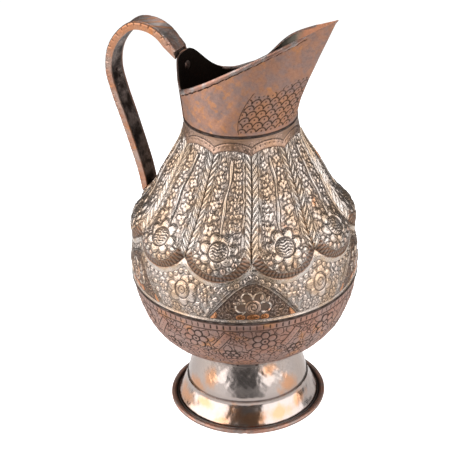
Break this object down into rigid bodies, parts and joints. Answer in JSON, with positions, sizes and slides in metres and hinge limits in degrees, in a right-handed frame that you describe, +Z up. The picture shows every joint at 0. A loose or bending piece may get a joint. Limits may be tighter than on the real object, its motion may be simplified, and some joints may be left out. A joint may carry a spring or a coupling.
{
  "type": "copper water jug",
  "caption": "Footed hand-raised water jug with a lobed shoulder, a pointed pouring spout and a hollow strap handle, in worn tinned copper.",
  "frame": {"origin": "on the jug's axis, in the plane of the rolled foot rim that it stands on", "axes": "+Z up along the jug's axis, +X towards the spout, -X towards the handle, +Y to the left of someone who looks along the spout"},
  "size_m": [0.1813, 0.159, 0.3005],
  "materials": {
    "worn_copper": "copper sheet with most of its tin worn off, satin, with orange and grey patches",
    "worn_tin": "tinned copper, hammered and half polished, copper showing through",
    "chased_copper": "copper sheet chased all over, dull, dark in the cuts",
    "chased_tin": "tinned copper in raised relief, bright on the high places and dark in the ground",
    "solder": "old soft solder, dull grey",
    "dark_tin": "tarnished tinned sheet, dark brown"
  },
  "bodies": {
    "root": {"foot_rim_bead": "worn_copper", "foot_flange": "worn_tin", "foot_bell": "worn_tin", "foot_solder": "solder", "bowl": "chased_copper", "belly_seam": "solder", "shoulder": "chased_tin", "neck_seam": "solder", "neck": "worn_copper", "neck_lap_strip": "worn_copper", "lip_hem": "worn_tin", "handle_channel": "worn_copper", "handle_strip": "dark_tin", "handle_tongue": "worn_copper", "handle_top_rivet": "dark_tin", "handle_foot_solder": "solder"}
  },
  "joints": []
}
